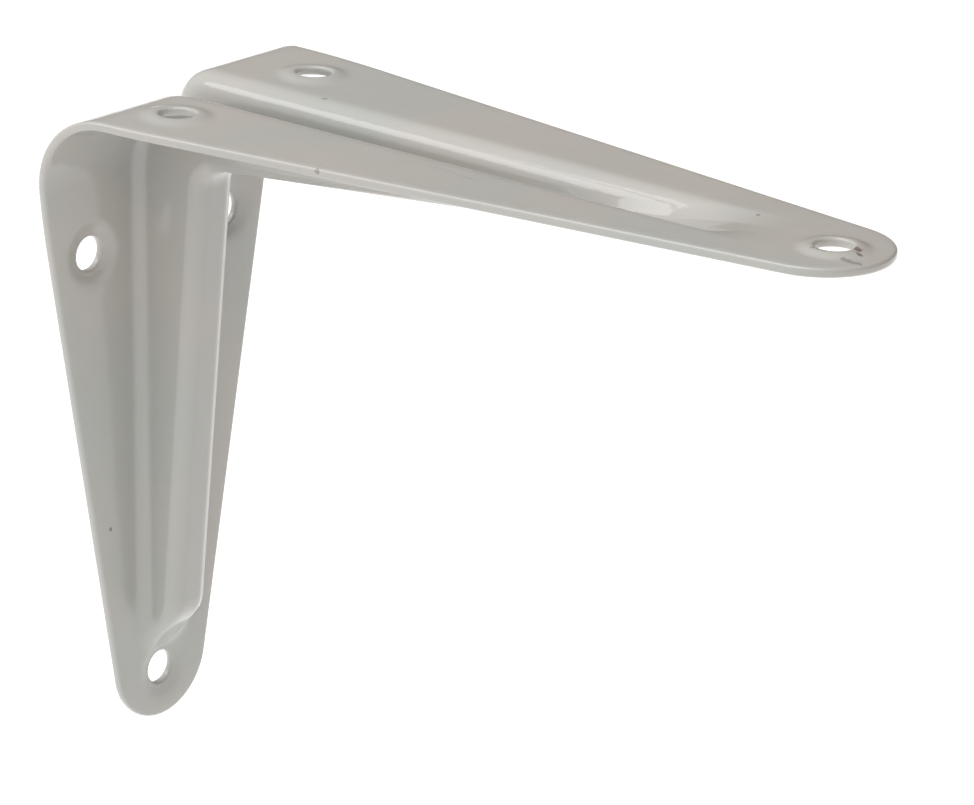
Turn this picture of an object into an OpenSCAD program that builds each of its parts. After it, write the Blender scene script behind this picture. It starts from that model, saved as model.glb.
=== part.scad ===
// A pressed steel shelf bracket: one piece of sheet, folded square and stiffened by a channel.
// The channel is pressed towards the inside of the corner. It is deepest there and fades out along
// both arms. The frame's origin is midway between the two upper wall screws, on the wall plane:
// +X points out from the wall, +Z points up and Y runs across the bracket.

/* [Arms] */
// Length of the shelf arm, from the wall plane to its tip
shelf_len = 125; // [115:1:150]
// Length of the wall arm, from the shelf plane to its tip
wall_len = 100; // [95:1:130]
// Radius of the shelf arm's round tip
shelf_tip_r = 10; // [8:0.1:11]
// Radius of the wall arm's round tip
wall_tip_r = 9.4; // [8:0.1:11]

/* [Sheet] */
// Thickness of the sheet with its coating
sheet_t = 1.3; // [1:0.1:1.6]
// Half width of the blank on the fold, before its side corner is rounded
blank_half_w = 25.9; // [24:0.1:30]
// Radius that rounds the blank's side corner
blank_corner_r = 130; // [60:5:160]
// Outer radius of the fold beside the channel, on the left of someone facing the wall
left_fold_r = 12.8; // [6:0.2:13]
// Outer radius of the fold beside the channel, on the right
right_fold_r = 6; // [4:0.2:13]

/* [Channel] */
// Distance from the wall plane to the channel's inside corner
corner_x = 12.7; // [11:0.1:15]
// Distance from the shelf plane to the channel's inside corner
corner_drop = 11.7; // [10:0.1:15]
// Inside radius of the channel's corner
corner_r = 3.5; // [2:0.1:6]
// Slope of the channel's floor along the shelf arm
shelf_slope = 5.6; // [3:0.1:6]
// Slope of the channel's floor along the wall arm
wall_slope = 4.7; // [3:0.1:6]
// Half width of the channel at the corner, where its sides would meet the flange
channel_half_w = 7.3; // [6.8:0.1:7.6]
// Half width of the channel where it has faded out on the shelf arm
shelf_end_half_w = 4.4; // [4.2:0.1:5.5]
// Half width of the channel where it has faded out on the wall arm
wall_end_half_w = 4.6; // [4.2:0.1:5.5]
// Half width of the channel's floor, where its sides would meet it
floor_half_w = 1.5; // [1.2:0.1:1.6]
// Length over which each side of the mouth is rounded, across the bracket
mouth_round = 2.6; // [2:0.1:2.8]
// Length over which each side of the floor is rounded, across the bracket
floor_round = 2.2; // [1.5:0.1:2.2]
// Place on the shelf arm where the channel starts to fade
shelf_fade_start = 84; // [70:1:88]
// Place on the shelf arm where the channel has faded out
shelf_fade_end = 109; // [95:1:110]
// Place on the wall arm where the channel starts to fade
wall_fade_start = 80; // [70:0.5:80]
// Place on the wall arm where the channel has faded out
wall_fade_end = 89; // [84:0.5:89]

/* [Screw holes] */
// Diameter of the screw holes
hole_d = 5; // [4:0.1:6]
// Distance between the two holes of each pair
pair_spacing = 28.4; // [28.4:0.1:30]
// Distance from the wall plane to the shelf pair
shelf_pair_x = 17.9; // [17.9:0.1:24]
// Distance from the shelf plane to the wall pair
wall_pair_drop = 23.8; // [19:0.1:30]
// Distance from each tip to its hole
tip_hole_in = 7.6; // [7:0.1:9]
// Diameter of the dish that is pressed round each hole
dish_d = 10.4; // [9:0.1:11]
// Depth of the dish
dish_h = 0.5; // [0.2:0.05:0.8]

/* [Hidden] */
$fn = 96;
coat = [0.70, 0.69, 0.67];

// Samples: stations along the arms and points across the section
fan_steps = 12;
corner_steps = 5;
straight_steps = 4;
fade_steps = 10;
round_steps = 5;
dish_steps = 6;
// Clear overlap of a cutter past what it cuts
past = 1;
// How far a dome or dish runs on past its rim, as a share of its sloping ring
dish_skirt = 0.2;
// Flat ring between a hole and its dish
lip = 0.6;

function unit(v) = v / norm(v);
function mix(a, b, u) = a + (b - a) * u;
function clamp01(u) = min(1, max(0, u));
function smooth(u) = clamp01(u) * clamp01(u) * (3 - 2 * clamp01(u));
function spread(a, b, n) = [for (i = [1 : n]) mix(a, b, i / n)];
function cross2(a, b) = a[0] * b[1] - a[1] * b[0];

// A path in the XZ plane: two straight legs that leave a vertex, and the radius that joins them
flange_legs = [[1, 0], [0, -1]];
floor_legs = [[cos(shelf_slope), sin(shelf_slope)], [-sin(wall_slope), -cos(wall_slope)]];
function leg_half_angle(legs) = acos(legs[0] * legs[1]) / 2;
function inward(legs) = unit(legs[0] + legs[1]) / sin(leg_half_angle(legs));
function path(vertex, legs, r) = [vertex, legs, r];
function path_centre(p) = p[0] + inward(p[1]) * p[2];
function flange_path(r, depth) = path(inward(flange_legs) * depth, flange_legs, r - depth);
function floor_path(depth) =
    path([corner_x, -corner_drop] - inward(floor_legs) * depth, floor_legs, corner_r + depth);

// Where a ray that leaves start in direction d crosses a path, as a distance along the ray
function leg_hit(start, d, vertex, leg) = cross2(vertex - start, leg) / cross2(d, leg);
function leg_place(start, d, vertex, leg) =
    cross2(start - vertex, d) / cross2(leg, d);
function arc_hit(start, d, centre, r) =
    let (to = centre - start, along = to * d)
    along + sqrt(max(0, r * r - to * to + along * along));
function path_hit(start, d, p) =
    let (
        reach = p[2] / tan(leg_half_angle(p[1])),
        shelf_at = leg_place(start, d, p[0], p[1][0]),
        wall_at = leg_place(start, d, p[0], p[1][1])
    )
    d[1] > 0 && abs(cross2(p[1][0], d)) > 0.001 && shelf_at >= reach ? leg_hit(start, d, p[0], p[1][0])
    : d[0] < 0 && abs(cross2(p[1][1], d)) > 0.001 && wall_at >= reach ? leg_hit(start, d, p[0], p[1][1])
    : arc_hit(start, d, path_centre(p), p[2]);

// Stations: [start, direction, distance along the arm, place along the flat blank]
fan = path_centre(floor_path(0));
mean_fold_r = (left_fold_r + right_fold_r) / 2;
fold_saving = mean_fold_r * (1 - PI / 4);
function shelf_station(x) = [[x, fan[1]], [0, 1], x, x - fold_saving];
function wall_station(z) = [[fan[0], -z], [-1, 0], z, fold_saving - z];
function fan_station(u) =
    [fan, [cos(90 + 90 * u), sin(90 + 90 * u)], mix(fan[0], -fan[1], u),
     mix(fan[0] - fold_saving, fold_saving + fan[1], u)];

// The blank's edge: a straight taper on each arm, tangent to the tip, and a rounded side corner
function edge_angle(len, tip_r) =
    let (run = len - fold_saving - tip_r)
    atan2(blank_half_w, run) - asin(tip_r / norm([blank_half_w, run]));
shelf_edge = edge_angle(shelf_len, shelf_tip_r);
wall_edge = edge_angle(wall_len, wall_tip_r);
corner_reach = blank_corner_r * tan((shelf_edge + wall_edge) / 2);
corner_centre =
    [corner_reach * cos(shelf_edge) - blank_corner_r * sin(shelf_edge),
     blank_half_w - corner_reach * sin(shelf_edge) - blank_corner_r * cos(shelf_edge)];
shelf_corner_end = corner_reach * cos(shelf_edge);
wall_corner_end = corner_reach * cos(wall_edge);
function half_width(place) =
    place > shelf_corner_end ? blank_half_w - place * tan(shelf_edge)
    : place < -wall_corner_end ? blank_half_w + place * tan(wall_edge)
    : corner_centre[1] + sqrt(blank_corner_r * blank_corner_r - pow(place - corner_centre[0], 2));

shelf_places = concat(
    spread(fan[0], shelf_corner_end + fold_saving, corner_steps),
    spread(shelf_corner_end + fold_saving, shelf_fade_start, straight_steps),
    spread(shelf_fade_start, shelf_fade_end, fade_steps),
    [shelf_len + past]);
wall_places = concat(
    spread(-fan[1], wall_corner_end + fold_saving, corner_steps),
    spread(wall_corner_end + fold_saving, wall_fade_start, straight_steps),
    spread(wall_fade_start, wall_fade_end, fade_steps),
    [wall_len + past]);
shelf_count = len(shelf_places);
stations = concat(
    [for (i = [shelf_count - 1 : -1 : 0]) concat(shelf_station(shelf_places[i]), [1])],
    [for (i = [0 : fan_steps]) concat(fan_station(i / fan_steps), [0])],
    [for (z = wall_places) concat(wall_station(z), [-1])]);

// What is left of the channel's depth at a station: all of it, or less along the fades
function depth_left(s) =
    s[4] > 0 ? 1 - smooth((s[2] - shelf_fade_start) / (shelf_fade_end - shelf_fade_start))
    : s[4] < 0 ? 1 - smooth((s[2] - wall_fade_start) / (wall_fade_end - wall_fade_start))
    : 1;
function mouth_half_w(s) =
    s[4] > 0 ? mix(channel_half_w, shelf_end_half_w, clamp01((s[2] - fan[0]) / (shelf_fade_end - fan[0])))
    : s[4] < 0 ? mix(channel_half_w, wall_end_half_w, clamp01((s[2] + fan[1]) / (wall_fade_end + fan[1])))
    : channel_half_w;

// The section across the bracket: depth of the outer face below the flange, as a share from 0 to 1.
// Straight sides run from the mouth to the floor, and a parabola rounds each end of them.
function side_share(y, mouth) = (mouth - y) / (mouth - floor_half_w);
function share(y, mouth) =
    let (m = 1 / (mouth - floor_half_w), a = abs(y), f = floor_round / 2, e = mouth_round / 2)
    a >= mouth + e ? 0
    : a > mouth - e ? m * pow(mouth + e - a, 2) / (4 * e)
    : a >= floor_half_w + f ? side_share(a, mouth)
    : a > floor_half_w - f ? 1 - m * pow(a - floor_half_w + f, 2) / (4 * f)
    : 1;
function share_slope(y, mouth) =
    let (m = 1 / (mouth - floor_half_w), a = abs(y), f = floor_round / 2, e = mouth_round / 2)
    -sign(y) * (
        a >= mouth + e ? 0
        : a > mouth - e ? m * (mouth + e - a) / (2 * e)
        : a >= floor_half_w + f ? m
        : a > floor_half_w - f ? m * (a - floor_half_w + f) / (2 * f)
        : 0);
function half_section(half_w, mouth) = concat(
    [half_w, mouth + mouth_round / 2],
    spread(mouth + mouth_round / 2, mouth - mouth_round / 2, round_steps),
    [floor_half_w + floor_round / 2],
    spread(floor_half_w + floor_round / 2, floor_half_w - floor_round / 2, round_steps));
function section_places(half_w, mouth) =
    let (side = half_section(half_w, mouth), n = len(side))
    concat([for (y = side) -y], [for (i = [n - 1 : -1 : 0]) side[i]]);

// One station's ring of points: the outer face from left to right, then the inner face back
function face_point(s, y, at) = [s[0][0] + s[1][0] * at, y, s[0][1] + s[1][1] * at];
function ring(s) =
    let (
        mouth = mouth_half_w(s),
        ys = section_places(half_width(s[3]), mouth),
        floor_out = path_hit(s[0], s[1], floor_path(sheet_t)),
        floor_in = path_hit(s[0], s[1], floor_path(0)),
        rows = [for (y = ys)
            let (
                r = y < 0 ? left_fold_r : right_fold_r,
                flange_out = path_hit(s[0], s[1], flange_path(r, 0)),
                flange_in = path_hit(s[0], s[1], flange_path(r, sheet_t)),
                part = share(y, mouth) * depth_left(s),
                drop = flange_out - floor_out,
                slope = share_slope(y, mouth) * depth_left(s) * drop,
                t = mix(flange_out - flange_in, floor_out - floor_in, part),
                at = flange_out - part * drop,
                lean = norm([slope, 1])
            )
            [face_point(s, y, at), face_point(s, y - t * slope / lean, at - t / lean)]]
    )
    concat([for (row = rows) row[0]], [for (i = [len(rows) - 1 : -1 : 0]) rows[i][1]]);

rings = [for (s = stations) ring(s)];
ring_size = len(rings[0]);
ring_count = len(rings);
function corner_index(i, j) = i * ring_size + j % ring_size;
function quad(a, b, c, d) = [[a, b, c], [a, c, d]];
function cap(i, flip) = [for (j = [0 : ring_size / 2 - 2], face = quad(
        corner_index(i, j), corner_index(i, j + 1),
        corner_index(i, ring_size - 2 - j), corner_index(i, ring_size - 1 - j)))
    flip ? [face[2], face[1], face[0]] : face];
skin = [for (i = [0 : ring_count - 2], j = [0 : ring_size - 1], face = quad(
        corner_index(i, j), corner_index(i + 1, j),
        corner_index(i + 1, j + 1), corner_index(i, j + 1)))
    face];

module pressed_sheet() {
    polyhedron(
        points = [for (r = rings, p = r) p],
        faces = concat(cap(0, false), skin, cap(ring_count - 1, true)),
        convexity = 8);
}

// What lies outside a round tip: the arm points along +X and the tip circle's centre is at len - r
module tip_waste(len, r, edge) {
    linear_extrude(height = 2 * (corner_x + past), center = true)
        difference() {
            translate([len - r + r * sin(edge), -2 * r])
                square([2 * r + past, 4 * r]);
            translate([len - r, 0])
                circle(r = r);
        }
}

// A screw hole's seat, with the outer face at Z = 0: a low dome outside and a dish inside
function crown(u) = dish_h * (1 - u * u);
module crown_solid() {
    inner_r = hole_d / 2 + lip;
    outer_r = dish_d / 2;
    skirt = (outer_r - inner_r) * dish_skirt;
    curve = [for (i = [0 : dish_steps])
        [mix(inner_r, outer_r, i / dish_steps), crown(i / dish_steps)]];
    foot = [outer_r + skirt, -2 * dish_h * dish_skirt];
    rotate_extrude()
        polygon(concat([[0, dish_h]], curve, [foot, [foot[0], -sheet_t / 2], [0, -sheet_t / 2]]));
}
module dish_cut() {
    inner_r = hole_d / 2 + lip;
    outer_r = dish_d / 2;
    skirt = (outer_r - inner_r) * dish_skirt;
    curve = [for (i = [0 : dish_steps])
        [mix(inner_r, outer_r, i / dish_steps), crown(i / dish_steps) - sheet_t]];
    foot = [outer_r + skirt, -2 * dish_h * dish_skirt - sheet_t];
    rotate_extrude()
        polygon(concat([[0, dish_h - sheet_t]], curve, [foot, [foot[0], -sheet_t - past], [0, -sheet_t - past]]));
}
module screw_hole() {
    cylinder(d = hole_d, h = 2 * (sheet_t + past), center = true);
}

// Puts what is drawn on the plane Z = 0, with an arm along +X, on each arm's outer face
module on_shelf_arm(x, y) {
    translate([x, y, 0])
        children();
}
module on_wall_arm(drop, y) {
    mirror([1, 0, 1])
        translate([drop, y, 0])
            children();
}
module at_each_hole() {
    for (side = [-1, 1]) {
        on_shelf_arm(shelf_pair_x, side * pair_spacing / 2)
            children();
        on_wall_arm(wall_pair_drop, side * pair_spacing / 2)
            children();
    }
    on_shelf_arm(shelf_len - tip_hole_in, 0)
        children();
    on_wall_arm(wall_len - tip_hole_in, 0)
        children();
}

module bracket() {
    color(coat)
        translate([0, 0, wall_pair_drop])
            difference() {
                union() {
                    difference() {
                        pressed_sheet();
                        tip_waste(shelf_len, shelf_tip_r, shelf_edge);
                        on_wall_arm(0, 0)
                            tip_waste(wall_len, wall_tip_r, wall_edge);
                    }
                    at_each_hole()
                        crown_solid();
                }
                at_each_hole() {
                    dish_cut();
                    screw_hole();
                }
            }
}

bracket();
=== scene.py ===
"""Dresses the shelf bracket: one pressed sheet with rounded edges, in pale enamel, under soft light."""
import math

import bpy
import numpy as np
from mathutils import Matrix, Vector
from mathutils.geometry import delaunay_2d_cdt


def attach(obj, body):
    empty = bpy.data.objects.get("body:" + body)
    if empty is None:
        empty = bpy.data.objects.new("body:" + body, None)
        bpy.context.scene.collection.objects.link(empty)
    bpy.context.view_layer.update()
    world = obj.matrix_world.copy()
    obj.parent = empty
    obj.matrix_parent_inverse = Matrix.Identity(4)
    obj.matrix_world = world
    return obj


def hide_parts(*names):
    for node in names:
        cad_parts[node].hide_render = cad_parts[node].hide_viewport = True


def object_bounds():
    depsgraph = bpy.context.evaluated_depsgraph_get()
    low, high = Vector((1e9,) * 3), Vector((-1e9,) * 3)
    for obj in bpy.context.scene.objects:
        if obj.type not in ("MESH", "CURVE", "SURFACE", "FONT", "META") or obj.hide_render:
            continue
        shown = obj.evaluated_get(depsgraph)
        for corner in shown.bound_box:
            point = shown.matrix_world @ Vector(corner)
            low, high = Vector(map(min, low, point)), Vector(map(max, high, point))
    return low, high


MM = 0.001

# Sizes of the sheet in millimetres, as in the part's source. The sheet is worked out in the corner's
# frame: X out from the wall, Z up, with the two outer planes meeting at X = 0 and Z = 0.
SHELF_LEN = 125.0
WALL_LEN = 100.0
SHELF_TIP_R = 10.0
WALL_TIP_R = 9.4
SHEET_T = 1.3
BLANK_HALF_W = 25.9
BLANK_CORNER_R = 130.0
LEFT_FOLD_R = 12.8
RIGHT_FOLD_R = 6.0

# The screw holes and the low seats pressed round them
HOLE_R = 2.5
PAIR_SPACING = 28.4
SHELF_PAIR_X = 17.9
WALL_PAIR_DROP = 23.8
TIP_HOLE_IN = 7.6
DISH_R = 5.2
DISH_H = 0.5
LIP = 0.6

# The channel's floor: where its two legs meet, their radius there, and how far each leans, in degrees
CORNER_X = 12.7
CORNER_DROP = 11.7
CORNER_R = 3.5
SHELF_SLOPE = 5.6
WALL_SLOPE = 4.7

# The channel's section as the photograph shows it, narrower and steeper than the solid's, and the
# distances from the corner between which it fades out
FLOOR_HALF_W = 1.7
SIDE_W = 4.9
SIDE_END_W = 4.2
MOUTH_R = 3.3
FLOOR_R = 0.8
SHELF_FADE_START = 88.0
SHELF_FADE_END = 111.0
WALL_FADE_START = 80.0
WALL_FADE_END = 89.0

# How far the coating rounds the cut edges, and how finely the mesh follows the sheet
RIM_R = 0.45
RIM_STEPS = 4
POINT_PITCH = 0.9
FINE_PITCH = 0.55
CLEAR_SHARE = 0.6
LOOP_POINTS = 48
NORMAL_STEP = 0.02

# Over the fold, u runs from HALF_FAN on the shelf arm to its negative on the wall arm
HALF_FAN = 9.0

# Rows of the mesh across the channel: its middle, then where the floor, the floor's arc, the straight
# side and the mouth's arc end. Where the channel is shallow, the arcs' rows still spread over LEAST_TURN.
ROW_KNOTS = (0.0, FLOOR_HALF_W, 2.9, 9.4, 12.4)
LEAST_TURN = math.radians(25)

# Limits below which a length, an area or a crossing counts as none
LEAST_DEPTH = 1e-6
LEAST_SIDE = 1e-9
LEAST_AREA = 1e-3
LEAST_CROSSING = 1e-3
SAME_POINT = 1e-6

# The camera that took the photograph: its angles in degrees, the rest in millimetres, the focal length
# in pixels. The point CAMERA_AIM, in the corner's frame, shows ACROSS and UP from the picture's middle.
CAMERA_TURN = 38.55
CAMERA_RISE = 20.4
CAMERA_ROLL = 1.394
CAMERA_DISTANCE = 581.7
CAMERA_ACROSS = -11.07
CAMERA_UP = -1.61
CAMERA_AIM = np.array([48.0, 0.0, -40.0])
CAMERA_FOCAL_PX = 4186.0
FRAME_WIDTH_PX = 974
SENSOR_MM = 36.0
CLIP_START = 0.01
CLIP_END = 20.0

# The enamel's tones, gloss and relief; a noise's scale is in waves to the metre
ENAMEL_COOL = (0.362, 0.366, 0.344, 1)
ENAMEL_WARM = (0.392, 0.371, 0.343, 1)
ENAMEL_DUST = (0.33, 0.32, 0.30, 1)
ROUGHNESS = 0.38
COAT_WEIGHT = 0.85
COAT_ROUGHNESS = 0.08
CLOUD_SCALE = 38.0
CLOUD_RANGE = (0.35, 0.65)
GRAIN_SCALE = 900.0
GRAIN_RANGE = (0.6, 0.85)
GRAIN_SHARE = 0.12
PEEL_SCALE = 260.0
WAVE_SCALE = 60.0
WAVE_SHARE = 2.0
BUMP_STRENGTH = 0.14
BUMP_HEIGHT = 0.0004

# Marks in the enamel: centre in metres in the row's frame, half sizes in millimetres, colour, strength
RUST = (0.10, 0.055, 0.035, 1)
STEEL_DARK = (0.07, 0.07, 0.068, 1)
MARKS = [
    ((0.0013, -0.0110, -0.0430), (0.5, 0.3, 0.35), STEEL_DARK, 0.75),
    ((0.0600, -0.0082, 0.0238), (2.6, 0.13, 0.4), STEEL_DARK, 0.22),
    ((0.0645, -0.0088, 0.0238), (2.4, 0.12, 0.4), STEEL_DARK, 0.26),
    ((0.0480, -0.0196, 0.0235), (0.6, 0.5, 0.4), STEEL_DARK, 0.5),
    ((0.0268, 0.0062, 0.0238), (0.4, 0.3, 0.3), STEEL_DARK, 0.6),
    ((0.1022, 0.0047, 0.0237), (0.4, 0.3, 0.3), STEEL_DARK, 0.6),
    ((0.1204, 0.0004, 0.0243), (1.0, 0.7, 0.7), RUST, 0.85),
    ((0.1216, -0.0006, 0.0241), (0.7, 0.35, 0.5), STEEL_DARK, 0.8),
    ((0.1222, -0.0032, 0.0238), (1.7, 0.5, 0.4), STEEL_DARK, 0.5),
    ((0.1170, -0.0029, 0.0243), (1.5, 0.3, 0.4), RUST, 0.45),
]

# A mark's outline: it is full inside EDGE_IN of its half sizes, gone past EDGE_OUT, and ragged by noise
EDGE_IN = 0.75
EDGE_OUT = 1.15
RAGGED = 0.35
RAGGED_SCALE = 1600.0
RAGGED_RANGE = (0.3, 0.7)

# The floor and the surround, which is brightest towards one side; lengths in metres
FLOOR_SIZE = 8
FLOOR_DROP = 0.12
FLOOR_TONE = (0.93, 0.93, 0.93, 1)
FLOOR_ROUGHNESS = 0.9
FLOOR_GLOW = 0.25
WHITE = (1, 1, 1, 1)
BRIGHT_SIDE = (-0.3, -0.85, 0.43)
SURROUND_REACH = 0.7
SURROUND_DARK = (0.2, 0.165, 0.13, 1)
SURROUND_BRIGHT = (1.1, 1.1, 1.1, 1)

# Square lamps: name, place, aim and side in metres, and power in watts
LAMPS = [
    ("overhead", (-0.1, -0.2, 0.8), (0.05, 0, 0), 0.6, 3.1),
    ("side_window", (-0.56, -0.5, 0.62), (0.05, 0, 0), 0.34, 1.2),
]


def unit(v):
    return np.asarray(v, float) / np.linalg.norm(v)


def smooth(v):
    """From 0 to 1 as v goes from 0 to 1, level at both ends."""
    v = np.clip(v, 0, 1)
    return v * v * (3 - 2 * v)


def cross(a, b):
    return a[..., 0] * b[..., 1] - a[..., 1] * b[..., 0]


class Path:
    """Two straight legs that leave a vertex in the XZ plane, and the radius that joins them."""

    def __init__(self, vertex, legs, radius):
        self.vertex = np.asarray(vertex, float)
        self.legs = [np.asarray(leg, float) for leg in legs]
        self.radius = radius
        half = math.acos(float(self.legs[0] @ self.legs[1])) / 2
        self.inward = unit(self.legs[0] + self.legs[1]) / math.sin(half)
        self.centre = self.vertex + self.inward * radius
        self.reach = radius / math.tan(half)

    def offset(self, depth):
        """The same path, moved by depth towards the inside of the corner."""
        return Path(self.vertex + self.inward * depth, self.legs, self.radius - depth)

    def hit(self, start, way):
        """How far rays from start, in direction way, run until they cross the path."""
        to = self.centre - start
        along = (to * way).sum(-1)
        out = along + np.sqrt(np.maximum(0, self.radius**2 - (to * to).sum(-1) + along**2))
        for leg, facing in zip(self.legs, (way[..., 1] > 0, way[..., 0] < 0)):
            wide = np.broadcast_to(leg, way.shape)
            crossing = cross(way, wide)
            sound = np.abs(crossing) > LEAST_CROSSING
            crossing = np.where(sound, crossing, 1.0)
            place = cross(start - self.vertex, way) / -crossing
            at = cross(self.vertex - start, wide) / crossing
            out = np.where(sound & facing & (place >= self.reach), at, out)
        return out


class Sheet:
    """The bracket's outer face as a function of u, along the arms, and y, across them."""

    def __init__(self):
        shelf, wall = math.radians(SHELF_SLOPE), math.radians(WALL_SLOPE)
        flange_legs = [[1, 0], [0, -1]]
        floor_legs = [[math.cos(shelf), math.sin(shelf)], [-math.sin(wall), -math.cos(wall)]]
        floor = Path([CORNER_X, -CORNER_DROP], floor_legs, CORNER_R)
        self.fan = floor.centre
        self.floor = floor.offset(-SHEET_T)
        self.left = Path([0, 0], flange_legs, LEFT_FOLD_R)
        self.right = Path([0, 0], flange_legs, RIGHT_FOLD_R)
        # Each arm's share of the length that the round fold saves
        self.saving = (LEFT_FOLD_R + RIGHT_FOLD_R) / 2 * (1 - math.pi / 4)
        self.shelf_edge = self.edge_angle(SHELF_LEN, SHELF_TIP_R)
        self.wall_edge = self.edge_angle(WALL_LEN, WALL_TIP_R)
        # The arc that rounds the blank's side corner: its centre, and where it ends along each arm
        reach = BLANK_CORNER_R * math.tan((self.shelf_edge + self.wall_edge) / 2)
        self.shelf_corner_end = reach * math.cos(self.shelf_edge)
        self.wall_corner_end = reach * math.cos(self.wall_edge)
        self.corner_along = self.shelf_corner_end - BLANK_CORNER_R * math.sin(self.shelf_edge)
        self.corner_across = (BLANK_HALF_W - reach * math.sin(self.shelf_edge)
                              - BLANK_CORNER_R * math.cos(self.shelf_edge))
        self.holes = [(self.u_of_shelf(SHELF_PAIR_X), side * PAIR_SPACING / 2) for side in (-1, 1)]
        self.holes += [(self.u_of_wall(WALL_PAIR_DROP), side * PAIR_SPACING / 2) for side in (-1, 1)]
        self.holes += [(self.u_of_shelf(SHELF_LEN - TIP_HOLE_IN), 0.0)]
        self.holes += [(self.u_of_wall(WALL_LEN - TIP_HOLE_IN), 0.0)]

    def edge_angle(self, length, tip_r):
        """How far an arm's straight edge leans in, from the blank's corner to the tip's circle."""
        run = length - self.saving - tip_r
        return math.atan2(BLANK_HALF_W, run) - math.asin(tip_r / math.hypot(BLANK_HALF_W, run))

    def u_of_shelf(self, x):
        return x - self.fan[0] + HALF_FAN

    def u_of_wall(self, drop):
        return -(drop + self.fan[1]) - HALF_FAN

    def turn(self, u):
        """0 where the rays leave the shelf arm, 1 where they reach the wall arm."""
        return np.clip((HALF_FAN - u) / (2 * HALF_FAN), 0, 1)

    def rays(self, u):
        """Start and direction of the rays that cross the sheet: square to the arms, fanned at the fold."""
        angle = math.pi / 2 * (1 + self.turn(u))
        way = np.stack([np.cos(angle), np.sin(angle)], -1)
        start = np.stack([self.fan[0] + np.maximum(0, u - HALF_FAN),
                          self.fan[1] - np.maximum(0, -HALF_FAN - u)], -1)
        return start, way

    def along(self, u):
        """Distance from the corner, along whichever arm the ray is on."""
        turn = self.turn(u)
        fan = self.fan[0] * (1 - turn) - self.fan[1] * turn
        return np.where(u >= HALF_FAN, self.fan[0] + u - HALF_FAN,
                        np.where(u <= -HALF_FAN, -self.fan[1] - HALF_FAN - u, fan))

    def place(self, u):
        """Place along the flat blank, from its fold."""
        turn = self.turn(u)
        first, last = self.fan[0] - self.saving, self.saving + self.fan[1]
        return np.where(u >= HALF_FAN, first + u - HALF_FAN,
                        np.where(u <= -HALF_FAN, last + HALF_FAN + u, first * (1 - turn) + last * turn))

    def half_width(self, u):
        """Half the blank's width, without the round of its tips."""
        place = self.place(u)
        corner = self.corner_across + np.sqrt(
            np.maximum(0, BLANK_CORNER_R**2 - (place - self.corner_along)**2))
        return np.where(place > self.shelf_corner_end, BLANK_HALF_W - place * math.tan(self.shelf_edge),
                        np.where(place < -self.wall_corner_end,
                                 BLANK_HALF_W + place * math.tan(self.wall_edge), corner))

    def depth_left(self, u):
        """The share of the channel's depth that is left as it fades towards a tip."""
        a = self.along(u)
        shelf = (a - SHELF_FADE_START) / (SHELF_FADE_END - SHELF_FADE_START)
        wall = (a - WALL_FADE_START) / (WALL_FADE_END - WALL_FADE_START)
        return 1 - smooth(np.where(u > 0, shelf, wall))

    def side_width(self, u):
        """The width of one side of the channel, from the floor to the mouth."""
        a = self.along(u)
        shelf = np.clip((a - self.fan[0]) / (SHELF_FADE_END - self.fan[0]), 0, 1)
        wall = np.clip((a + self.fan[1]) / (WALL_FADE_END + self.fan[1]), 0, 1)
        return SIDE_W + (SIDE_END_W - SIDE_W) * np.where(u > 0, shelf, wall)

    def full_depth(self, u):
        """The channel's depth along the ray through u, between the two folds."""
        start, way = self.rays(u)
        flange = (self.left.hit(start, way) + self.right.hit(start, way)) / 2
        return np.maximum(self.depth_left(u) * (flange - self.floor.hit(start, way)), LEAST_DEPTH)

    def steepness(self, u):
        """How far the sides of the channel turn down, as an angle."""
        width, depth = self.side_width(u), self.full_depth(u)
        both = MOUTH_R + FLOOR_R
        across = np.hypot(width, depth - both)
        return np.arctan2(depth - both, width) + np.arcsin(np.minimum(1, both / across))

    def share(self, u, y):
        """The channel's depth at y as a share of its full depth."""
        width, depth, steep = self.side_width(u), self.full_depth(u), self.steepness(u)
        into = np.clip(FLOOR_HALF_W + width - np.abs(y), 0, width)
        left = width - into
        mouth_in, floor_in = MOUTH_R * np.sin(steep), FLOOR_R * np.sin(steep)
        mouth = MOUTH_R - np.sqrt(np.maximum(0, MOUTH_R**2 - np.minimum(into, mouth_in)**2))
        floor = depth - FLOOR_R + np.sqrt(np.maximum(0, FLOOR_R**2 - np.minimum(left, floor_in)**2))
        side = MOUTH_R * (1 - np.cos(steep)) + (into - mouth_in) * np.tan(steep)
        drop = np.where(into <= mouth_in, mouth, np.where(left <= floor_in, floor, side))
        return drop / depth

    def knots(self, u):
        """The turn of the section's arcs at u, and where its floor's arc, side and mouth's arc end."""
        turn = np.maximum(LEAST_TURN, self.steepness(u))
        mouth_end = FLOOR_HALF_W + self.side_width(u)
        return turn, FLOOR_HALF_W + FLOOR_R * np.sin(turn), mouth_end - MOUTH_R * np.sin(turn), mouth_end

    def y_of(self, u, row):
        """Across the bracket, from a row number that follows the section's parts evenly."""
        turn, arc_end, side_end, mouth_end = self.knots(u)
        a = np.abs(row)
        part = [(a - low) / (high - low) for low, high in zip(ROW_KNOTS[:-1], ROW_KNOTS[1:])]
        flat = part[0] * FLOOR_HALF_W
        floor = FLOOR_HALF_W + FLOOR_R * np.sin(turn * np.clip(part[1], 0, 1))
        side = arc_end + (side_end - arc_end) * part[2]
        mouth = mouth_end - MOUTH_R * np.sin(turn * (1 - np.clip(part[3], 0, 1)))
        out = mouth_end + a - ROW_KNOTS[4]
        y = np.where(a <= ROW_KNOTS[1], flat, np.where(a <= ROW_KNOTS[2], floor, np.where(
            a <= ROW_KNOTS[3], side, np.where(a <= ROW_KNOTS[4], mouth, out))))
        return np.sign(row) * y

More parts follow.
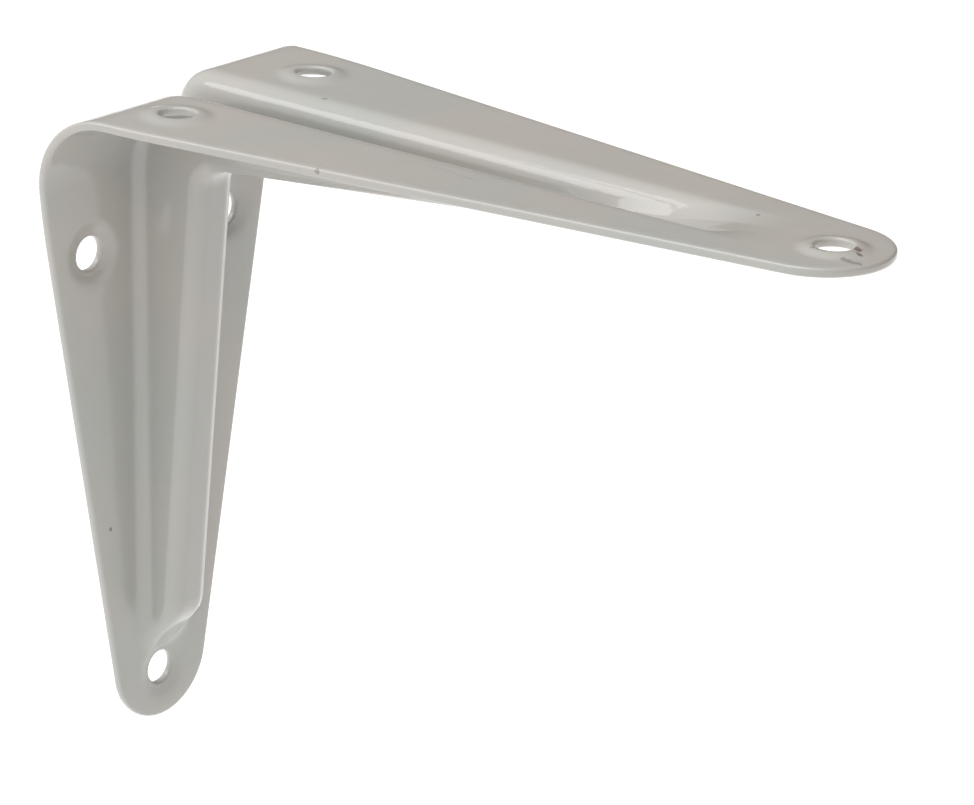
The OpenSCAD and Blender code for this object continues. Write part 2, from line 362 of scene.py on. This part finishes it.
    def row_of(self, u, y):
        """The row number of a place across the bracket."""
        turn, arc_end, side_end, mouth_end = self.knots(u)
        a = np.abs(y)
        r1, r2, r3, r4 = ROW_KNOTS[1:]
        flat = a / FLOOR_HALF_W * r1
        floor = r1 + (r2 - r1) * np.arcsin(np.clip((a - FLOOR_HALF_W) / FLOOR_R, 0, 1)) / turn
        side = r2 + (r3 - r2) * (a - arc_end) / np.maximum(side_end - arc_end, LEAST_SIDE)
        mouth = r4 - (r4 - r3) * np.arcsin(np.clip((mouth_end - a) / MOUTH_R, 0, 1)) / turn
        out = r4 + a - mouth_end
        row = np.where(a <= FLOOR_HALF_W, flat, np.where(a <= arc_end, floor, np.where(
            a <= side_end, side, np.where(a <= mouth_end, mouth, out))))
        return np.sign(y) * row

    def dish(self, u, y):
        """How far the screw holes' seats stand out of the flanges."""
        inner = HOLE_R + LIP
        out = np.zeros(np.broadcast(u, y).shape)
        for hole_u, hole_y in self.holes:
            ring = (np.hypot(u - hole_u, y - hole_y) - inner) / (DISH_R - inner)
            out = out + DISH_H * (1 - smooth(ring))
        return out

    def outer(self, u, y):
        """Points of the outer face, in the corner's frame."""
        u, y = np.broadcast_arrays(np.asarray(u, float), np.asarray(y, float))
        start, way = self.rays(u)
        flange = np.where(y < 0, self.left.hit(start, way), self.right.hit(start, way))
        drop = self.share(u, y) * self.depth_left(u) * (flange - self.floor.hit(start, way))
        at = flange - drop + self.dish(u, y)
        return np.stack([start[..., 0] + way[..., 0] * at, y, start[..., 1] + way[..., 1] * at], -1)

    def normal(self, u, y):
        """Unit vectors square to the outer face, pointing out."""
        du = self.outer(u + NORMAL_STEP, y) - self.outer(u - NORMAL_STEP, y)
        dy = self.outer(u, y + NORMAL_STEP) - self.outer(u, y - NORMAL_STEP)
        n = np.cross(du, dy)
        return n / np.linalg.norm(n, axis=-1, keepdims=True)

    def point(self, u, y, depth):
        """Points in the sheet, depth below its outer face."""
        return self.outer(u, y) - self.normal(u, y) * depth


def tip(u_centre, radius, edge, way):
    """The arc round an arm's tip, between the ends of its straight edges."""
    angles = np.linspace(edge - math.pi / 2, math.pi / 2 - edge, LOOP_POINTS)
    return [(u_centre + way * radius * math.cos(t), way * radius * math.sin(t)) for t in angles]


def outline(sheet):
    """The blank's edge in the (u, y) plane, counterclockwise."""
    shelf_centre = sheet.u_of_shelf(SHELF_LEN - SHELF_TIP_R)
    wall_centre = sheet.u_of_wall(WALL_LEN - WALL_TIP_R)
    shelf_end = shelf_centre + SHELF_TIP_R * math.sin(sheet.shelf_edge)
    wall_end = wall_centre - WALL_TIP_R * math.sin(sheet.wall_edge)
    count = int((shelf_end - wall_end) / POINT_PITCH)
    straight = np.linspace(shelf_end, wall_end, count + 1)[1:-1]
    half = sheet.half_width(straight)
    far = list(zip(straight, half))
    near = list(zip(straight[::-1], -half[::-1]))
    return np.array(tip(shelf_centre, SHELF_TIP_R, sheet.shelf_edge, 1) + far
                    + tip(wall_centre, WALL_TIP_R, sheet.wall_edge, -1) + near)


def circle(centre, radius):
    angles = np.linspace(0, 2 * math.pi, LOOP_POINTS, endpoint=False)
    return np.stack([centre[0] + radius * np.cos(angles), centre[1] + radius * np.sin(angles)], -1)


def outward(loop):
    """Unit vectors that point to the right of a closed loop, at each of its points."""
    along = np.roll(loop, -1, 0) - np.roll(loop, 1, 0)
    away = np.stack([along[:, 1], -along[:, 0]], -1)
    return away / np.linalg.norm(away, axis=1, keepdims=True)


def inside(points, loop):
    """Which points a closed loop holds."""
    x, y = points[:, 0], points[:, 1]
    held = np.zeros(len(points), bool)
    for (ax, ay), (bx, by) in zip(loop, np.roll(loop, -1, 0)):
        if ay != by:
            held ^= ((ay > y) != (by > y)) & (x < (bx - ax) * (y - ay) / (by - ay) + ax)
    return held


def clearance(points, loop):
    """How far points are from the nearest point of a loop."""
    gap = np.full(len(points), np.inf)
    for corner in loop:
        gap = np.minimum(gap, np.hypot(*(points - corner).T))
    return gap


def face_points(edge, hole_loops):
    """Rows of points along the arms that fill the blank, closer together over the channel and fold."""
    fine = np.concatenate([np.linspace(low, high, max(2, round((high - low) / FINE_PITCH)) + 1)[:-1]
                           for low, high in zip(ROW_KNOTS[:-1], ROW_KNOTS[1:])])
    side = np.arange(ROW_KNOTS[4], ROW_KNOTS[4] + BLANK_HALF_W, POINT_PITCH)
    half = np.concatenate([fine, side])
    rows = np.concatenate([-half[:0:-1], half])
    low, high = edge[:, 0].min(), edge[:, 0].max()
    fan = np.arange(-HALF_FAN, HALF_FAN + FINE_PITCH / 2, FINE_PITCH)
    stations = np.concatenate([np.arange(-HALF_FAN - POINT_PITCH, low, -POINT_PITCH)[::-1], fan,
                               np.arange(HALF_FAN + POINT_PITCH, high, POINT_PITCH)])
    u, row = np.meshgrid(stations, rows, indexing="ij")
    points = np.stack([u.ravel(), row.ravel()], -1)
    points = points[inside(points, edge)]
    points = points[clearance(points, edge) > POINT_PITCH * CLEAR_SHARE]
    for loop in hole_loops:
        points = points[~inside(points, loop)]
        points = points[clearance(points, loop) > FINE_PITCH * CLEAR_SHARE]
    return points


def triangulate(loops):
    """Points and triangles between the first loop and the others, and where each loop point went."""
    edges, first = [], 0
    for loop in loops:
        count = len(loop)
        edges += [(first + i, first + (i + 1) % count) for i in range(count)]
        first += count
    flat = np.concatenate(loops + [face_points(loops[0], loops[1:])])
    found = delaunay_2d_cdt([Vector(p) for p in flat], edges, [], 0, SAME_POINT)
    points = np.array([tuple(v) for v in found[0]])
    triangles = np.array(found[2])
    middle = points[triangles].mean(axis=1)
    keep = inside(middle, loops[0])
    for loop in loops[1:]:
        keep &= ~inside(middle, loop)
    a, b, c = (points[triangles[:, i]] for i in range(3))
    doubled = cross(b - a, c - a)
    # Slivers along a straight edge lie outside it
    keep &= np.abs(doubled) > LEAST_AREA
    turned = doubled < 0
    triangles[turned] = triangles[turned][:, ::-1]
    where = {source: i for i, sources in enumerate(found[3]) for source in sources}
    return points, triangles[keep], where


def rim_profile():
    """Steps over a rounded rim, from the outer face to the inner one: how far out and how deep."""
    turns = np.linspace(0, math.pi / 2, RIM_STEPS + 1)[1:]
    steps = [(RIM_R * math.sin(t), RIM_R * (1 - math.cos(t))) for t in turns]
    return steps + [(out, SHEET_T - depth) for out, depth in steps[::-1]]


def ring_faces(upper, lower, sign):
    """Quads between two rings of vertices, turned over round a hole."""
    quads = zip(upper, lower, np.roll(lower, -1), np.roll(upper, -1))
    return [quad if sign > 0 else quad[::-1] for quad in quads]


def sheet_mesh(sheet):
    """Both faces from one flat triangulation, and rounded rims that join them along every edge."""
    loops = [(outline(sheet), 1)] + [(circle(hole, HOLE_R), -1) for hole in sheet.holes]
    insets = [loop - outward(loop) * RIM_R * sign for loop, sign in loops]
    in_rows = [np.stack([loop[:, 0], sheet.row_of(loop[:, 0], loop[:, 1])], -1) for loop in insets]
    points, triangles, where = triangulate(in_rows)
    total = len(points)
    u = points[:, 0]
    y = sheet.y_of(u, points[:, 1])
    vertices = [sheet.point(u, y, 0.0), sheet.point(u, y, SHEET_T)]
    faces = [tuple(t) for t in triangles] + [tuple(t[::-1] + total) for t in triangles]
    used = 2 * total
    first = 0
    for (loop, sign), inset in zip(loops, insets):
        top = np.array([where[first + i] for i in range(len(inset))])
        first += len(inset)
        rings = [top]
        for out, depth in rim_profile():
            at = inset + outward(loop) * out * sign
            vertices.append(sheet.point(at[:, 0], at[:, 1], depth))
            rings.append(used + np.arange(len(at)))
            used += len(at)
        rings.append(top + total)
        for upper, lower in zip(rings[:-1], rings[1:]):
            faces += ring_faces(upper, lower, sign)
    return np.concatenate(vertices), faces


def to_row_frame(points):
    """From the corner's frame in millimetres to the row's frame in metres."""
    return (np.asarray(points) + [0, 0, WALL_PAIR_DROP]) * MM


def make_bracket():
    vertices, faces = sheet_mesh(Sheet())
    mesh = bpy.data.meshes.new("bracket_sheet")
    mesh.from_pydata(to_row_frame(vertices).tolist(), [], [tuple(int(i) for i in f) for f in faces])
    mesh.validate()
    mesh.shade_smooth()
    piece = bpy.data.objects.new("bracket_sheet", mesh)
    bpy.context.collection.objects.link(piece)
    return piece


class Graph:
    """Short ways to add nodes to a node tree and join them."""

    def __init__(self, tree):
        self.nodes, self.links = tree.nodes, tree.links

    def feed(self, socket, value):
        """Joins a node's output to a socket, or sets the socket to a constant."""
        if isinstance(value, bpy.types.NodeSocket):
            self.links.new(value, socket)
        else:
            socket.default_value = value

    def add(self, kind, inputs=None, **settings):
        node = self.nodes.new(kind)
        for name, value in settings.items():
            setattr(node, name, value)
        for name, value in (inputs or {}).items():
            self.feed(node.inputs[name], value)
        return node

    def math(self, kind, first, second):
        return self.add("ShaderNodeMath", {0: first, 1: second}, operation=kind).outputs[0]

    def vector(self, kind, first, second):
        return self.add("ShaderNodeVectorMath", {0: first, 1: second}, operation=kind).outputs["Vector"]

    def noise(self, place, scale, detail):
        return self.add("ShaderNodeTexNoise",
                        {"Vector": place, "Scale": scale, "Detail": detail}).outputs["Fac"]

    def ramp(self, value, low, high, from_value=0.0, to_value=1.0):
        """Smoothly from one value to the other as the input goes from low to high."""
        return self.add("ShaderNodeMapRange", {
            "Value": value, "From Min": low, "From Max": high, "To Min": from_value, "To Max": to_value,
        }, interpolation_type="SMOOTHSTEP").outputs["Result"]

    def blend(self, share, first, second):
        """One colour, going over to another by a share; the mix node's colour sockets are 6, 7 and 2."""
        return self.add("ShaderNodeMix", {0: share, 6: first, 7: second}, data_type="RGBA").outputs[2]


def add_mark(graph, place, tone, centre, size, colour, strength):
    """The tone with one small ragged mark in it."""
    offset = graph.vector("SUBTRACT", place, centre)
    scaled = graph.vector("MULTIPLY", offset, [1 / (v * MM) for v in size])
    length = graph.add("ShaderNodeVectorMath", {0: scaled}, operation="LENGTH").outputs["Value"]
    rough = graph.noise(place, RAGGED_SCALE, 2.0)
    reach = graph.math("ADD", length, graph.ramp(rough, *RAGGED_RANGE, -RAGGED, RAGGED))
    return graph.blend(graph.ramp(reach, EDGE_OUT, EDGE_IN, 0.0, strength), tone, colour)


def enamel():
    """Glossy pale warm grey enamel over steel: cloudy in tone, a little uneven in surface, and chipped."""
    material = bpy.data.materials.new("enamel")
    material.use_nodes = True
    graph = Graph(material.node_tree)
    shader = graph.nodes["Principled BSDF"]
    shader.inputs["Roughness"].default_value = ROUGHNESS
    shader.inputs["Coat Weight"].default_value = COAT_WEIGHT
    shader.inputs["Coat Roughness"].default_value = COAT_ROUGHNESS
    place = graph.add("ShaderNodeTexCoord").outputs["Object"]
    cloud = graph.noise(place, CLOUD_SCALE, 3.0)
    tone = graph.blend(graph.ramp(cloud, *CLOUD_RANGE), ENAMEL_COOL, ENAMEL_WARM)
    grain = graph.noise(place, GRAIN_SCALE, 2.0)
    tone = graph.blend(graph.ramp(grain, *GRAIN_RANGE, 0.0, GRAIN_SHARE), tone, ENAMEL_DUST)
    for mark in MARKS:
        tone = add_mark(graph, place, tone, *mark)
    graph.feed(shader.inputs["Base Color"], tone)
    peel = graph.noise(place, PEEL_SCALE, 2.0)
    wave = graph.noise(place, WAVE_SCALE, 1.0)
    height = graph.math("ADD", peel, graph.math("MULTIPLY", wave, WAVE_SHARE))
    bump = graph.add("ShaderNodeBump", {
        "Strength": BUMP_STRENGTH, "Distance": BUMP_HEIGHT, "Height": height,
    }).outputs["Normal"]
    graph.feed(shader.inputs["Normal"], bump)
    graph.feed(shader.inputs["Coat Normal"], bump)
    return material


def make_camera():
    """The photograph's camera: its place and turn from the fitted angles, its lens from the focal length."""
    turn, rise, roll = (math.radians(v) for v in (CAMERA_TURN, CAMERA_RISE, CAMERA_ROLL))
    back = np.array([math.sin(turn) * math.cos(rise), -math.cos(turn) * math.cos(rise), math.sin(rise)])
    level = unit(np.cross([0, 0, 1], back))
    upright = np.cross(back, level)
    right = math.cos(roll) * level + math.sin(roll) * upright
    up = -math.sin(roll) * level + math.cos(roll) * upright
    place = to_row_frame(CAMERA_AIM - CAMERA_ACROSS * right - CAMERA_UP * up + CAMERA_DISTANCE * back)
    camera = bpy.data.objects.new("camera", bpy.data.cameras.new("camera"))
    bpy.context.collection.objects.link(camera)
    pose = Matrix(np.stack([right, up, back], 1).tolist()).to_4x4()
    pose.translation = Vector(place)
    camera.matrix_world = pose
    camera.data.sensor_fit = "HORIZONTAL"
    camera.data.sensor_width = SENSOR_MM
    camera.data.lens = CAMERA_FOCAL_PX / FRAME_WIDTH_PX * SENSOR_MM
    camera.data.clip_start = CLIP_START
    camera.data.clip_end = CLIP_END
    bpy.context.scene.camera = camera


def make_lamp(name, place, aim, side, power):
    light = bpy.data.lights.new(name, "AREA")
    light.shape = "SQUARE"
    light.size = side
    light.energy = power
    lamp = bpy.data.objects.new(name, light)
    bpy.context.collection.objects.link(lamp)
    lamp.location = place
    lamp.rotation_euler = (Vector(aim) - Vector(place)).to_track_quat("-Z", "Y").to_euler()


def make_floor():
    """A pale, faintly glowing floor well below the bracket."""
    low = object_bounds()[0]
    bpy.ops.mesh.primitive_plane_add(size=FLOOR_SIZE, location=(0, 0, low.z - FLOOR_DROP))
    floor = bpy.context.object
    floor.name = "floor"
    paint = bpy.data.materials.new("floor_paint")
    paint.use_nodes = True
    shader = paint.node_tree.nodes["Principled BSDF"]
    shader.inputs["Base Color"].default_value = FLOOR_TONE
    shader.inputs["Roughness"].default_value = FLOOR_ROUGHNESS
    shader.inputs["Emission Color"].default_value = WHITE
    shader.inputs["Emission Strength"].default_value = FLOOR_GLOW
    floor.data.materials.append(paint)


def make_surround():
    """A surround that goes from dim and warm to bright and neutral towards one side."""
    world = bpy.data.worlds.new("surround")
    world.use_nodes = True
    graph = Graph(world.node_tree)
    way = graph.add("ShaderNodeTexCoord").outputs["Generated"]
    facing = graph.add("ShaderNodeVectorMath", {0: way, 1: BRIGHT_SIDE},
                       operation="DOT_PRODUCT").outputs["Value"]
    sky = graph.blend(graph.ramp(facing, -SURROUND_REACH, SURROUND_REACH), SURROUND_DARK, SURROUND_BRIGHT)
    graph.feed(graph.nodes["Background"].inputs["Color"], sky)
    bpy.context.scene.world = world


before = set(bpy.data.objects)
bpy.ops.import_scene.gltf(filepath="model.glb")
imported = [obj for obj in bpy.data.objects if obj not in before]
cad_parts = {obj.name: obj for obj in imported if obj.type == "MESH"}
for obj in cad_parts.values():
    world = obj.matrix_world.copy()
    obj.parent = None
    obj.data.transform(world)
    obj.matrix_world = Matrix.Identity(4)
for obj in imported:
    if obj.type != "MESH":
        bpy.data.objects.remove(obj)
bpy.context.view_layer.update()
bracket = make_bracket()
bracket.data.materials.append(enamel())
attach(bracket, "root")
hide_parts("bracket")
make_camera()
make_floor()
make_surround()
for lamp in LAMPS:
    make_lamp(*lamp)
bpy.context.scene.view_settings.view_transform = "Standard"
